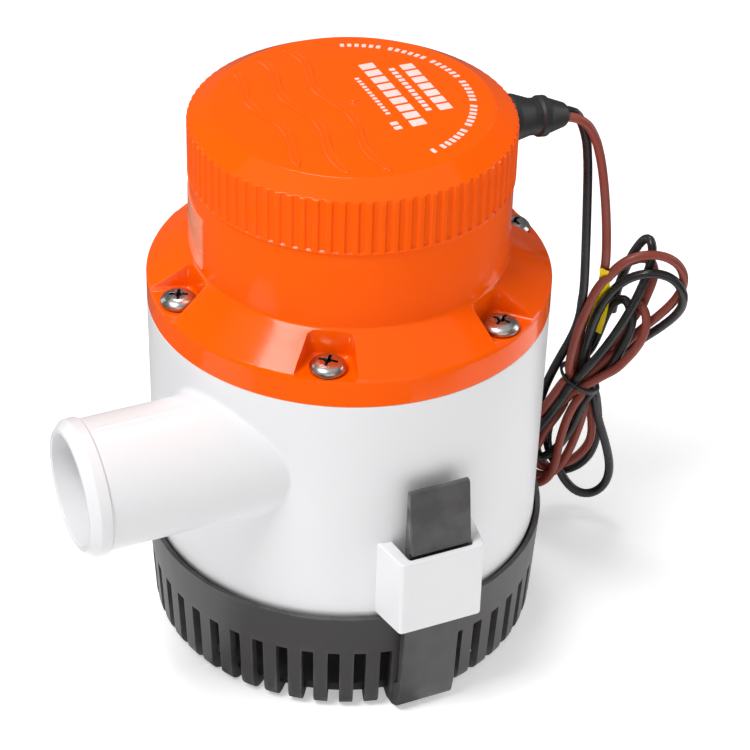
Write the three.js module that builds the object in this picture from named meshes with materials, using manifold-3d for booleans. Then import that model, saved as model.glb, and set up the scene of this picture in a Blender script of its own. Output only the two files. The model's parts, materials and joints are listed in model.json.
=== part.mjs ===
// Submersible bilge pump: a slotted strainer, a white pump housing with a hose spigot, an orange motor
// housing with a ribbed cap, the motor and impeller inside it, and two wire leads tied in a hank.
// Units are millimetres, +Z is up, and the origin is the centre of the strainer's underside.
// The spigot points along -X, the snap arms stand at -Y and +Y, and the leads leave towards +X.

import * as THREE from 'three';
import { mergeVertices } from 'three/addons/utils/BufferGeometryUtils.js';
import Module from 'manifold-3d';

const wasm = await Module();
wasm.setup();

// ---------------------------------------------------------------- driving dimensions

const GAP = 0.3;                 // space left between pieces that touch
const BODY_RADIUS = 62;          // flange and pump housing
const BODY_FOOT_RADIUS = 61.5;   // pump housing just above its rounded lower edge
const HOUSING_BOTTOM = 36;
const HOUSING_TOP = 117.5;
const CHAMBER_RADIUS = 58.8;     // inside of the pump housing
const LAND_RADIUS = 52;          // thick ring at the housing's top that takes the screws
const LAND_BOTTOM = 108;

const STRAINER_RADIUS = 61.8;    // at the floor
const RIM_RADIUS = 63.7;         // strainer rim
const RIM_HEIGHT = 38.3;
const LEDGE_HEIGHT = 35.7;       // the pump housing stands on this ledge
const FLOOR_THICKNESS = 3;
const SLOT_COUNT = 48;           // slot positions round the strainer
const SLOT_WIDTH = 3.7;
const SLOT_TOP = 23.8;
const SLOT_START = 53;           // how far in the slots reach under the floor

const SPIGOT_RADIUS = 20.05;     // for a hose of 40 mm bore
const SPIGOT_BORE = 17;
const SPIGOT_OFFSET = -27.8;     // Y of the spigot's axis
const SPIGOT_HEIGHT = 88.7;
const SPIGOT_END = 100.8;        // distance of its end from the pump's axis
const BEAD_RADIUS = 20.95;
const BEAD_START = 94.3;

const ARM_HALF_WIDTH = 9.3;
const ARM_FOOT_TOP = 9;
const ARM_TOP = 88.4;
const CLIP_BOTTOM = 39.5;
const CLIP_TOP = 66.5;
const CLIP_FACE = 72.5;          // distance of a clip box's face from the pump's axis

const FLANGE_BOTTOM = 117.8;
const FLANGE_RIM_TOP = 126.2;
const NECK_RADIUS = 48.5;
const NECK_BOTTOM = 135.4;
const NECK_TOP = 161;
const MOTOR_BAY_RADIUS = 37.5;
const MOTOR_BAY_FLOOR = 65;
const SCREW_COUNT = 6;
const SCREW_CIRCLE = 55.6;
const SCREW_RADIUS = 2.1;
const SCREW_HEAD_RADIUS = 5.5;
const SCREW_HEAD_TOP = 129.6;
const POCKET_START = 49.5;        // distance of a screw pocket's back wall from the axis
const POCKET_WIDTH = 13;
const POCKET_FLARE = 3.8;         // how much further each side wall stands at the rim

const CAP_RADIUS = 49;
const CAP_BOTTOM = 161.3;
const CAP_SHOULDER = 178;
const CAP_TOP = 183.9;
const RIB_COUNT = 80;
const RIB_DEPTH = 0.8;

const BOOT_START = 46.5;         // where the cable boot's axis crosses the cap's wall
const BOOT_HEIGHT = 167.6;
const BOOT_LENGTH = 25;
const BOOT_DROOP = 8 * Math.PI / 180;

const SHAFT_RADIUS = 3;
const IMPELLER_RADIUS = 38;
const VANE_COUNT = 6;
const ARMATURE_RADIUS = 25.4;
const ARMATURE_SLOTS = 7;

const WIRE_RADIUS = 1.5;
const HANK_TURN = -24.3 * Math.PI / 180;   // the hank lies in a vertical plane turned by this angle from +X

// ---------------------------------------------------------------- finishes

const WHITE = { color: 0xf0f0f2, roughness: 0.35, metalness: 0 };
const ORANGE = { color: 0xff5f00, roughness: 0.25, metalness: 0 };
const DARK_GREY = { color: 0x4b4849, roughness: 0.65, metalness: 0 };
const STAINLESS = { color: 0xc8c4be, roughness: 0.25, metalness: 1 };
const RUBBER = { color: 0x1c1c1e, roughness: 0.7, metalness: 0 };
const STEEL = { color: 0x8d9094, roughness: 0.4, metalness: 1 };
const COPPER = { color: 0xb5652f, roughness: 0.35, metalness: 1 };
const MAGNET = { color: 0x3a3a3d, roughness: 0.6, metalness: 0.2 };
const GRAPHITE = { color: 0x2b2b2d, roughness: 0.8, metalness: 0 };
const LABEL = { color: 0xe9ddd4, roughness: 0.4, metalness: 0 };
const BROWN_WIRE = { color: 0x7c3b32, roughness: 0.45, metalness: 0 };
const BLACK_WIRE = { color: 0x262324, roughness: 0.45, metalness: 0 };
const YELLOW = { color: 0xd9b400, roughness: 0.6, metalness: 0 };

// ---------------------------------------------------------------- solids

// A closed geometry as a solid: merged corners, no collapsed triangles, faces pointing out.
function solidOf(shape) {
  if (!shape.isBufferGeometry) return shape;
  const bare = shape.clone();
  bare.deleteAttribute('normal');
  bare.deleteAttribute('uv');
  const merged = mergeVertices(bare, 1e-4);
  const corners = merged.attributes.position;
  const index = merged.index.array;
  const triangles = [];
  let volume = 0;
  const a = new THREE.Vector3();
  const b = new THREE.Vector3();
  const c = new THREE.Vector3();
  for (let i = 0; i < index.length; i += 3) {
    const [p, q, r] = [index[i], index[i + 1], index[i + 2]];
    if (p === q || q === r || r === p) continue;
    triangles.push([p, q, r]);
    a.fromBufferAttribute(corners, p);
    b.fromBufferAttribute(corners, q);
    c.fromBufferAttribute(corners, r);
    volume += a.dot(b.cross(c));
  }
  const outward = volume < 0 ? triangles.map(([p, q, r]) => [p, r, q]) : triangles;
  return new wasm.Manifold(new wasm.Mesh({
    numProp: 3,
    vertProperties: new Float32Array(corners.array),
    triVerts: new Uint32Array(outward.flat()),
  }));
}

function join(first, ...others) {
  return others.reduce((sum, other) => sum.add(solidOf(other)), solidOf(first));
}

function cut(first, ...others) {
  return others.reduce((rest, other) => rest.subtract(solidOf(other)), solidOf(first));
}

function geometryOf(shape) {
  const result = solidOf(shape).getMesh();
  const geometry = new THREE.BufferGeometry();
  geometry.setAttribute('position', new THREE.BufferAttribute(new Float32Array(result.vertProperties), 3));
  geometry.setIndex(new THREE.BufferAttribute(new Uint32Array(result.triVerts), 1));
  geometry.computeVertexNormals();
  return geometry;
}

function part(name, shape, finish) {
  const mesh = new THREE.Mesh(geometryOf(shape), new THREE.MeshStandardMaterial(finish));
  mesh.name = name;
  return mesh;
}

// ---------------------------------------------------------------- basic shapes

// Turns a profile of [radius, height] points about Z. One that doesn't reach the axis closes on itself.
function revolve(profile, segments = 64) {
  const points = profile.map(([radius, height]) => new THREE.Vector2(radius, height));
  if (profile[0][0] > 0) points.push(points[0].clone());
  return new THREE.LatheGeometry(points, segments).rotateX(Math.PI / 2);
}

function ring(inner, outer, bottom, top, segments = 48) {
  return revolve([[inner, bottom], [outer, bottom], [outer, top], [inner, top]], segments);
}

function disc(radius, bottom, top, segments = 48) {
  return new THREE.CylinderGeometry(radius, radius, top - bottom, segments)
    .rotateX(Math.PI / 2).translate(0, 0, (bottom + top) / 2);
}

// A torus of round section, as an O-ring.
function sealRing(radius, height, sectionRadius) {
  const sides = 5;
  const profile = [];
  for (let i = 0; i < sides; i++) {
    const angle = i / sides * 2 * Math.PI;
    profile.push([radius + sectionRadius * Math.cos(angle), height + sectionRadius * Math.sin(angle)]);
  }
  return revolve(profile, 32);
}

// A box between two corners.
function box([x0, y0, z0], [x1, y1, z1]) {
  return new THREE.BoxGeometry(x1 - x0, y1 - y0, z1 - z0)
    .translate((x0 + x1) / 2, (y0 + y1) / 2, (z0 + z1) / 2);
}

function outline(points) {
  return new THREE.Shape(points.map(([x, y]) => new THREE.Vector2(x, y)));
}

// Extrudes an outline in the XY plane from one height to another.
function prism(points, bottom, top) {
  return new THREE.ExtrudeGeometry(outline(points), { depth: top - bottom, bevelEnabled: false })
    .translate(0, 0, bottom);
}

// Extrudes an outline given as [y, z] points along X, from -halfWidth to halfWidth.
function sideProfile(points, halfWidth) {
  return new THREE.ExtrudeGeometry(outline(points), { depth: 2 * halfWidth, bevelEnabled: false })
    .translate(0, 0, -halfWidth)
    .applyMatrix4(new THREE.Matrix4().makeBasis(
      new THREE.Vector3(0, 1, 0), new THREE.Vector3(0, 0, 1), new THREE.Vector3(1, 0, 0)));
}

// A sector of a ring, in plan.
function arcSector(inner, outer, from, to, steps) {
  const points = [];
  for (let i = 0; i <= steps; i++) {
    const angle = from + (to - from) * i / steps;
    points.push([outer * Math.cos(angle), outer * Math.sin(angle)]);
  }
  for (let i = steps; i >= 0; i--) {
    const angle = from + (to - from) * i / steps;
    points.push([inner * Math.cos(angle), inner * Math.sin(angle)]);
  }
  return points;
}

// A round tube that follows points, with its steps spread evenly along it.
function tube(points, radius, steps, sides = 8) {
  const section = [];
  for (let i = 0; i < sides; i++) {
    const angle = i / sides * 2 * Math.PI;
    section.push([radius * Math.cos(angle), radius * Math.sin(angle)]);
  }
  const path = new THREE.CatmullRomCurve3(points, false, 'centripetal');
  return new THREE.ExtrudeGeometry(outline(section), { steps, extrudePath: path });
}

function turned(geometry, angle) {
  return geometry.clone().rotateZ(angle);
}

// ---------------------------------------------------------------- strainer and its snap arms

function strainerBasket() {
  const cornerRadius = 5;
  const profile = [[0, 0]];
  for (let i = 0; i <= 2; i++) {
    const angle = (i / 2 - 1) * Math.PI / 2;
    profile.push([
      STRAINER_RADIUS - cornerRadius + cornerRadius * Math.cos(angle),
      cornerRadius + cornerRadius * Math.sin(angle),
    ]);
  }
  profile.push(
    [RIM_RADIUS, RIM_HEIGHT], [RIM_RADIUS - 1.5, RIM_HEIGHT], [RIM_RADIUS - 1.6, LEDGE_HEIGHT],
    [57.6, LEDGE_HEIGHT], [57.6, 34], [60.4, 31], [58.7, 6], [56, FLOOR_THICKNESS], [0, FLOOR_THICKNESS]);
  let basket = solidOf(revolve(profile, SLOT_COUNT));

  // The foot of each snap arm stands proud of the wall.
  const foot = [[57, 0], [61.4, 0], [63.9, 1.6], [65.5, 4], [66.2, ARM_FOOT_TOP], [57, ARM_FOOT_TOP]];
  for (const side of [0, Math.PI]) {
    basket = join(basket, turned(sideProfile(foot, 8.5), side));
  }

  const pitch = 2 * Math.PI / SLOT_COUNT;
  const slot = box([SLOT_START, -SLOT_WIDTH / 2, -1], [RIM_RADIUS + 3, SLOT_WIDTH / 2, SLOT_TOP]);
  for (let i = 0; i < SLOT_COUNT; i++) {
    const angle = (i + 0.5) * pitch;
    const besideArm = Math.abs(Math.cos(angle)) < Math.sin(pitch);
    if (!besideArm) basket = cut(basket, turned(slot, angle));
  }

  const mountingHole = revolve([[0, -1], [2.6, -1], [2.6, 1.6], [4.6, 3.1], [4.6, 4], [0, 4]], 16);
  for (let i = 0; i < 4; i++) {
    basket = cut(basket, turned(mountingHole.clone().translate(30, 0, 0), (i + 0.5) * Math.PI / 2));
  }
  return basket;
}

// The arm at +Y: a springy blade with a wedge-shaped catch above the clip box.
function snapArm() {
  const root = ARM_FOOT_TOP + GAP;
  const catchShelf = CLIP_TOP + GAP;
  return sideProfile([
    [66.2, root], [68.2, 45], [68.2, catchShelf], [70.2, catchShelf], [67.4, ARM_TOP - 0.8],
    [66.7, ARM_TOP], [65.2, ARM_TOP], [65.2, 45], [64, root],
  ], ARM_HALF_WIDTH);
}

// ---------------------------------------------------------------- pump housing

function clipBoxWalls() {
  const outer = [[-13.6, -CLIP_FACE], [13.6, -CLIP_FACE], [16.4, -58], [-16.4, -58]];
  const inner = [[-10.4, -70.6], [10.4, -70.6], [12.1, -56], [-12.1, -56]];
  return cut(prism(outer, CLIP_BOTTOM, CLIP_TOP), prism(inner, CLIP_BOTTOM - 1, CLIP_TOP + 1));
}

// Turns a profile of [radius, distance from the pump's axis] points about the spigot's axis.
function aboutSpigot(profile) {
  return revolve(profile, 36).rotateY(-Math.PI / 2).translate(0, SPIGOT_OFFSET, SPIGOT_HEIGHT);
}

function plateBoss(angle) {
  const circle = 53;
  const bottom = HOUSING_BOTTOM + 3.6;
  const boss = disc(4, bottom, 52, 16).translate(circle, 0, 0);
  const web = box([circle + 2, -1.5, bottom], [BODY_RADIUS - 2, 1.5, 52]);
  return join(turned(boss, angle), turned(web, angle));
}

function pumpHousing() {
  let housing = solidOf(revolve([
    [0, HOUSING_BOTTOM], [59.8, HOUSING_BOTTOM], [60.9, 36.8], [61.35, 38.4], [BODY_FOOT_RADIUS, 40],
    [BODY_RADIUS, HOUSING_TOP], [0, HOUSING_TOP],
  ], 60));
  housing = join(housing, aboutSpigot([
    [0, 30], [SPIGOT_RADIUS, 30], [SPIGOT_RADIUS, BEAD_START], [BEAD_RADIUS, BEAD_START + 0.4],
    [BEAD_RADIUS, 98], [18.5, SPIGOT_END], [0, SPIGOT_END],
  ]));
  housing = cut(housing, revolve([
    [0, HOUSING_BOTTOM - 1], [CHAMBER_RADIUS, HOUSING_BOTTOM - 1], [CHAMBER_RADIUS, 101],
    [LAND_RADIUS, LAND_BOTTOM], [LAND_RADIUS, HOUSING_TOP + 1], [0, HOUSING_TOP + 1],
  ], 48));
  housing = cut(housing, aboutSpigot([
    [0, 44], [SPIGOT_BORE, 44], [SPIGOT_BORE, SPIGOT_END + 1], [0, SPIGOT_END + 1],
  ]));
  const walls = clipBoxWalls();
  housing = join(housing, walls, turned(geometryOf(walls), Math.PI));

  for (let i = 0; i < 3; i++) {
    const angle = Math.PI / 6 + i * 2 * Math.PI / 3;
    const pilot = disc(1.9, HOUSING_BOTTOM, 50, 12).translate(53, 0, 0);
    housing = cut(join(housing, plateBoss(angle)), turned(pilot, angle));
  }
  const screwHole = disc(SCREW_RADIUS + GAP, 106.2, HOUSING_TOP + 1, 16).translate(SCREW_CIRCLE, 0, 0);
  for (let i = 0; i < SCREW_COUNT; i++) {
    housing = cut(housing, turned(screwHole, i * 2 * Math.PI / SCREW_COUNT));
  }
  return housing;
}

function inletPlate() {
  const bottom = HOUSING_BOTTOM + GAP;
  const top = bottom + 3;
  let plate = solidOf(revolve([
    [20, bottom], [58.4, bottom], [58.4, top], [23, top], [22.4, top + 0.6], [20, top + 0.6],
  ], 40));
  const hole = disc(1.9, bottom - 1, top + 1, 12).translate(53, 0, 0);
  for (let i = 0; i < 3; i++) {
    plate = cut(plate, turned(hole, Math.PI / 6 + i * 2 * Math.PI / 3));
  }
  return plate;
}

// Its head is below the inlet plate, and its tip up in the housing's boss.
function plateScrew() {
  const seat = HOUSING_BOTTOM;
  return revolve([
    [0, seat - 1.9], [2.6, seat - 1.9], [3.2, seat - 1.2], [3.2, seat], [1.6, seat], [1.6, 48.6], [0, 49.4],
  ], 10);
}

// ---------------------------------------------------------------- motor housing, its screws and the cap

function motorHousing() {
  let housing = solidOf(revolve([
    [4.2, MOTOR_BAY_FLOOR], [MOTOR_BAY_RADIUS, MOTOR_BAY_FLOOR], [MOTOR_BAY_RADIUS, 121], [45.5, 125],
    [45.5, NECK_TOP], [NECK_RADIUS, NECK_TOP], [NECK_RADIUS, NECK_BOTTOM], [49.4, NECK_BOTTOM - 0.8],
    [61.7, FLANGE_RIM_TOP + 0.2], [BODY_RADIUS, FLANGE_RIM_TOP - 0.3], [BODY_RADIUS, FLANGE_BOTTOM],
    [51.7, FLANGE_BOTTOM], [51.7, 115.9], [49.5, 115.9], [49.5, 113.1], [51.7, 113.1], [51.7, 110.5],
    [41, 104], [41, 62], [11, 62], [11, 58.6], [8, 58.6], [8, 63.6], [4.2, 63.6],
  ], 42));
  const half = POCKET_WIDTH / 2;
  const mouth = half + POCKET_FLARE;
  const rim = BODY_RADIUS + 1;
  const pocket = prism(
    [[POCKET_START, -half], [rim, -mouth], [rim, mouth], [POCKET_START, half]],
    FLANGE_RIM_TOP, NECK_BOTTOM + 2);
  const hole = disc(SCREW_RADIUS + GAP, FLANGE_BOTTOM - 1, FLANGE_RIM_TOP + 1, 16)
    .translate(SCREW_CIRCLE, 0, 0);
  for (let i = 0; i < SCREW_COUNT; i++) {
    const angle = i * 2 * Math.PI / SCREW_COUNT;
    housing = cut(housing, turned(pocket, angle), turned(hole, angle));
  }
  return housing;
}

// A pan-head screw with a cross recess.
function flangeScrew() {
  const seat = FLANGE_RIM_TOP + GAP;
  const screw = revolve([
    [0, 107], [SCREW_RADIUS, 108.4], [SCREW_RADIUS, seat], [SCREW_HEAD_RADIUS, seat],
    [SCREW_HEAD_RADIUS, SCREW_HEAD_TOP - 1.6], [4.5, SCREW_HEAD_TOP - 0.5],
    [2.4, SCREW_HEAD_TOP], [0, SCREW_HEAD_TOP],
  ], 14);
  const recess = box([-3.1, -0.6, SCREW_HEAD_TOP - 1.7], [3.1, 0.6, SCREW_HEAD_TOP + 1]);
  return cut(screw, recess, turned(recess, Math.PI / 2));
}

function ribbedBand() {
  const points = [];
  const step = 2 * Math.PI / RIB_COUNT;
  const corners = [[0, CAP_RADIUS - RIB_DEPTH], [0.5, CAP_RADIUS]];
  for (let i = 0; i < RIB_COUNT; i++) {
    for (const [share, radius] of corners) {
      const angle = (i + share) * step;
      points.push([radius * Math.cos(angle), radius * Math.sin(angle)]);
    }
  }
  return prism(points, CAP_BOTTOM, CAP_SHOULDER - 0.4);
}

// Moves a shape made about Z, with Z = 0 at the cap's wall, onto the boot's drooping axis.
function ontoBootAxis(geometry) {
  return geometry.clone().rotateY(Math.PI / 2 + BOOT_DROOP).translate(BOOT_START, 0, BOOT_HEIGHT);
}

function topCap() {
  const crown = revolve([
    [0, 175], [CAP_RADIUS - RIB_DEPTH, 175], [CAP_RADIUS, 177], [CAP_RADIUS, CAP_SHOULDER],
    [41.5, 182.3], [28, 183.4], [0, CAP_TOP],
  ], 40);
  const lip = disc(45.2, 155, CAP_BOTTOM + 1, 40);
  const groove = ring(43.5, 46, 156.8, 159.4, 40);
  const hollow = revolve([[0, 154], [42.3, 154], [42.3, 175], [36, 178.8], [0, 180.4]], 32);
  return cut(join(ribbedBand(), crown, lip), groove, hollow, ontoBootAxis(disc(5.6, -9, 8, 20)));
}

// The rubber boot where the leads leave the cap: inner flange, neck, tapered body and clamp ring.
function cableBoot() {
  return ontoBootAxis(revolve([
    [0, -7.8], [6.4, -7.8], [6.4, -6.2], [5.1, -6.2], [5.1, 4.3], [7.6, 4.3], [7.4, 6.5],
    [5.8, 12], [5.7, 14.6],
    [6.4, 15.2], [6.4, 17.4], [5.7, 18.2], [3.6, 24.4], [3.2, BOOT_LENGTH], [0, BOOT_LENGTH],
  ], 16));
}

// ---------------------------------------------------------------- motor, fixed pieces

function motorCan() {
  return revolve([
    [5, 65.3], [37, 65.3], [37, 147], [35.2, 147], [35.2, 67], [10.5, 67], [10.5, 73], [8.3, 73], [8.3, 67],
    [5, 67],
  ], 32);
}

// Closes the can's top, holds the upper bearing and guides the two brushes.
function endBell() {
  let bell = solidOf(revolve([
    [3.4, 151.5], [37, 151.5], [37, 147.3], [10.5, 147.3], [10.5, 142.3], [8.3, 142.3], [8.3, 147.8],
    [3.4, 147.8],
  ], 32));
  const holder = box([12.5, -5.5, 131.9], [27, 5.5, 148]);
  const channel = box([12, -3.3, 132.7], [24.6, 3.3, 140.3]);
  for (const angle of [0, Math.PI]) {
    bell = cut(join(bell, turned(holder, angle)), turned(channel, angle));
  }
  return bell;
}

function magnet() {
  return prism(arcSector(26.2, 34.8, -Math.PI * 0.4, Math.PI * 0.4, 14), 82, 126);
}

function bearing(bottom) {
  return ring(SHAFT_RADIUS + GAP, 8, bottom, bottom + 4.9, 20);
}

// ---------------------------------------------------------------- rotor

function motorShaft() {
  return revolve([
    [0, 40.8], [2.1, 41.1], [2.4, 41.5], [2.4, 44.4], [SHAFT_RADIUS, 44.4], [SHAFT_RADIUS, 149.8],
    [0, 150.3],
  ], 16);
}

function armatureCore() {
  let core = solidOf(ring(SHAFT_RADIUS + GAP, ARMATURE_RADIUS, 85, 122, 32));
  const slot = box([13, -2.5, 80], [30, 2.5, 130]);
  for (let i = 0; i < ARMATURE_SLOTS; i++) {
    core = cut(core, turned(slot, i * 2 * Math.PI / ARMATURE_SLOTS));
  }
  return core;
}

// The coils as one body: a bundle in each slot, and the end turns above and below the core.
function armatureWinding() {
  const lower = revolve([[8, 77], [11, 75.5], [20, 75.5], [22.5, 78], [22.5, 84.7], [8, 84.7]], 21);
  const upper = revolve([[8, 122.3], [22.5, 122.3], [22.5, 127], [20, 129.5], [11, 129.5], [8, 128]], 21);
  let winding = join(lower, upper);
  const bundle = box([13.5, -2.1, 84], [22.3, 2.1, 123]);
  for (let i = 0; i < ARMATURE_SLOTS; i++) {
    winding = join(winding, turned(bundle, i * 2 * Math.PI / ARMATURE_SLOTS));
  }
  return winding;
}

function commutator() {
  const bore = SHAFT_RADIUS + GAP;
  return revolve([
    [bore, 130], [12.2, 130], [12.2, 131.4], [10.5, 131.4], [10.5, 141.5], [bore, 141.5],
  ], 24);
}

function impellerVane() {
  const innerRadius = 9;
  const sweep = 0.9;
  const halfThickness = 1.1;
  const steps = 4;
  const front = [];
  const back = [];
  for (let i = 0; i <= steps; i++) {
    const radius = innerRadius + (IMPELLER_RADIUS - 0.4 - innerRadius) * i / steps;
    const angle = sweep * i / steps;
    const spread = halfThickness / radius;
    front.push([radius * Math.cos(angle + spread), radius * Math.sin(angle + spread)]);
    back.unshift([radius * Math.cos(angle - spread), radius * Math.sin(angle - spread)]);
  }
  return prism([...front, ...back], 45, 54.5);
}

function impeller() {
  const hub = disc(10, 44.2, 55, 32);
  const backPlate = disc(IMPELLER_RADIUS, 54, 56, 40);
  let wheel = join(hub, backPlate);
  const vane = impellerVane();
  for (let i = 0; i < VANE_COUNT; i++) {
    wheel = join(wheel, turned(vane, i * 2 * Math.PI / VANE_COUNT));
  }
  return cut(wheel, disc(SHAFT_RADIUS + GAP, 43, 57, 16));
}

function impellerNut() {
  return cut(disc(4.6, 41.6, 43.9, 6), disc(2.7, 41, 44.5, 16));
}

// ---------------------------------------------------------------- leads

// The leads hang in their own vertical plane: u runs along it, v across it, and z is the height.
function leadPoint([u, v, z]) {
  return new THREE.Vector3(u, v, z).applyAxisAngle(new THREE.Vector3(0, 0, 1), HANK_TURN);
}

const BROWN_DROP = [
  [65.9, 28.0, 164.0], [69.3, 28.6, 162.9], [73.4, 30, 158.6], [77.2, 31.5, 148.5], [79.8, 33, 134],
  [81.6, 34.4, 119], [82.6, 35.4, 104.2],
];
const BLACK_DROP = [
  [65.6, 31.1, 164.5], [69.1, 31.8, 162.6], [72.0, 32.6, 155.5], [73.6, 33.3, 146], [74.6, 34.2, 130],
  [75.5, 35, 112], [76.2, 35.8, 94.2],
];

// The outer shape of the tied loops, as [u, z] points: a lower lobe, a waist and an upper lobe.
const HANK_OUTLINE = [
  [72.3, 55], [66.5, 47], [61.5, 33], [60.5, 16], [65, 4.5], [76, 0.9], [88, 2.8], [93.4, 14], [92.4, 32],
  [88, 47], [84.6, 55], [88, 61.5], [97, 68.5], [107, 80], [111.5, 94], [108, 106], [98, 112.3],
  [89, 108.5], [81.5, 100], [76, 90.5], [73, 77], [71.5, 62],
];

function hankShape(points, near, far) {
  const shape = outline(points);
  return new THREE.ExtrudeGeometry(shape, { depth: far - near, bevelEnabled: false })
    .applyMatrix4(new THREE.Matrix4().makeBasis(
      new THREE.Vector3(1, 0, 0), new THREE.Vector3(0, 0, 1), new THREE.Vector3(0, -1, 0)))
    .translate(0, far, 0)
    .rotateZ(HANK_TURN);
}

function wireHank() {
  return hankShape(HANK_OUTLINE, 34, 50);
}

// A band round the hank's waist.
function hankTie() {
  const band = (uNear, uFar, vNear, vFar, bottom, top) =>
    box([uNear, vNear, bottom], [uFar, vFar, top]).rotateZ(HANK_TURN);
  return cut(band(68.6, 88, 31.5, 52.5, 56.4, 59.4), band(70.6, 87.1, 33.6, 50.4, 56, 60));
}

function wireTag() {
  return hankShape([[79, 74], [85, 76], [86.5, 99], [80.5, 97.5]], 32, 33);
}

function brushLead(side) {
  return tube([
    new THREE.Vector3(24, side * 6, 152),
    new THREE.Vector3(25, side * 6, 158),
    new THREE.Vector3(30, side * 4, 165),
    new THREE.Vector3(37.2, side * 1.8, 168.6),
  ], WIRE_RADIUS, 8);
}

// ---------------------------------------------------------------- assembly

const strainer = new THREE.Group();
strainer.add(part('strainer_basket', strainerBasket(), DARK_GREY));
const rearArm = part('snap_arm_rear', snapArm(), DARK_GREY);
const frontArm = part('snap_arm_front', snapArm(), DARK_GREY);
frontArm.rotation.z = Math.PI;
strainer.add(rearArm, frontArm);

const pump = new THREE.Group();
pump.add(part('pump_housing', pumpHousing(), WHITE));
pump.add(part('inlet_plate', inletPlate(), WHITE));
for (let i = 0; i < 3; i++) {
  const screw = part(`plate_screw_${i + 1}`, plateScrew(), STAINLESS);
  const angle = Math.PI / 6 + i * 2 * Math.PI / 3;
  screw.position.set(53 * Math.cos(angle), 53 * Math.sin(angle), 0);
  pump.add(screw);
}
pump.add(part('motor_housing', motorHousing(), ORANGE));
for (let i = 0; i < SCREW_COUNT; i++) {
  const screw = part(`flange_screw_${i + 1}`, flangeScrew(), STAINLESS);
  const angle = i * 2 * Math.PI / SCREW_COUNT;
  screw.position.set(SCREW_CIRCLE * Math.cos(angle), SCREW_CIRCLE * Math.sin(angle), 0);
  screw.rotation.z = 0.4 + 1.3 * i;
  pump.add(screw);
}
pump.add(part('flange_seal', sealRing(50.75, 114.5, 0.95), RUBBER));
pump.add(part('top_cap', topCap(), ORANGE));
pump.add(part('cap_seal', sealRing(44.45, 158.1, 0.75), RUBBER));
pump.add(part('cable_boot', cableBoot(), RUBBER));
pump.add(part('rating_label', prism(arcSector(48.8, 49.1, 2.66, 3.2, 8), 137.5, 155), LABEL));

const motor = new THREE.Group();
motor.add(part('motor_can', motorCan(), STEEL));
motor.add(part('end_bell', endBell(), GRAPHITE));
motor.add(part('lower_bearing', bearing(67.3), STEEL));
motor.add(part('upper_bearing', bearing(142.6), STEEL));
motor.add(part('shaft_seal', ring(SHAFT_RADIUS + GAP, 7.7, 58.9, 63.3, 20), RUBBER));
for (const [side, angle] of [['right', 0], ['left', Math.PI]]) {
  const brush = part(`brush_${side}`, box([10.9, -3, 133], [20, 3, 140]), GRAPHITE);
  brush.rotation.z = angle;
  const pole = part(`magnet_${side}`, magnet(), MAGNET);
  pole.rotation.z = angle;
  motor.add(brush, pole);
}
motor.add(part('brush_lead_brown', brushLead(-1), BROWN_WIRE));
motor.add(part('brush_lead_black', brushLead(1), BLACK_WIRE));

const rotor = new THREE.Group();
rotor.add(part('motor_shaft', motorShaft(), STEEL));
rotor.add(part('armature_core', armatureCore(), STEEL));
rotor.add(part('armature_winding', armatureWinding(), COPPER));
rotor.add(part('commutator', commutator(), COPPER));
rotor.add(part('impeller', impeller(), WHITE));
rotor.add(part('impeller_nut', impellerNut(), STAINLESS));

const leads = new THREE.Group();
leads.add(part('brown_lead', tube(BROWN_DROP.map(leadPoint), WIRE_RADIUS, 12), BROWN_WIRE));
leads.add(part('black_lead', tube(BLACK_DROP.map(leadPoint), WIRE_RADIUS, 13), BLACK_WIRE));
leads.add(part('wire_hank', wireHank(), BLACK_WIRE));
leads.add(part('hank_tie', hankTie(), BLACK_WIRE));
leads.add(part('wire_tag', wireTag(), YELLOW));

const bilgePump = new THREE.Group();
bilgePump.add(strainer, pump, motor, rotor, leads);

export default bilgePump;
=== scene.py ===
# Bilge pump: the visual model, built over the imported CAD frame.
# Shape code works in millimetres in the part's frame: +Z up, the spigot along -X, the leads towards +X.
# make_object() turns millimetres into Blender's metres.

import json
import math

import bmesh
import bpy
import numpy as np
from mathutils import Matrix, Vector


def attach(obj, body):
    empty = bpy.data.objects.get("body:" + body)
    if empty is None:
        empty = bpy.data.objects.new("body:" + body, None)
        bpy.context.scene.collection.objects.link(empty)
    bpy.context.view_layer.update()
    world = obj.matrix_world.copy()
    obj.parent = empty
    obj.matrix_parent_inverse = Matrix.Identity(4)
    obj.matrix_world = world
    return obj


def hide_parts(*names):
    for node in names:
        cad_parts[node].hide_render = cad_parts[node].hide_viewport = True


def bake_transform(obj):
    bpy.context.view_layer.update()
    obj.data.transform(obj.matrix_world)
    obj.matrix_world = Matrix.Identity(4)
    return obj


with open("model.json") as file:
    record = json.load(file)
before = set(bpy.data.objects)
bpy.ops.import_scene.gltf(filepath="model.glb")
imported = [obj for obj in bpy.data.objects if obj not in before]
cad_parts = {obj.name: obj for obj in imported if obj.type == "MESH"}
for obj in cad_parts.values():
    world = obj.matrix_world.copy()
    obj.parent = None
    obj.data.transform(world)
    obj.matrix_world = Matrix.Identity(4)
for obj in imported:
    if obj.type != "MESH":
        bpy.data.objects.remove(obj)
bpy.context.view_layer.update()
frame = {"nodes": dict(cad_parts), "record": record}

MM = 0.001
TAU = 2 * math.pi
HANK_TURN = math.radians(-24.3)   # the leads hang in a vertical plane turned by this angle from +X

scene = bpy.context.scene


# ---------------------------------------------------------------- camera, light and floor

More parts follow.
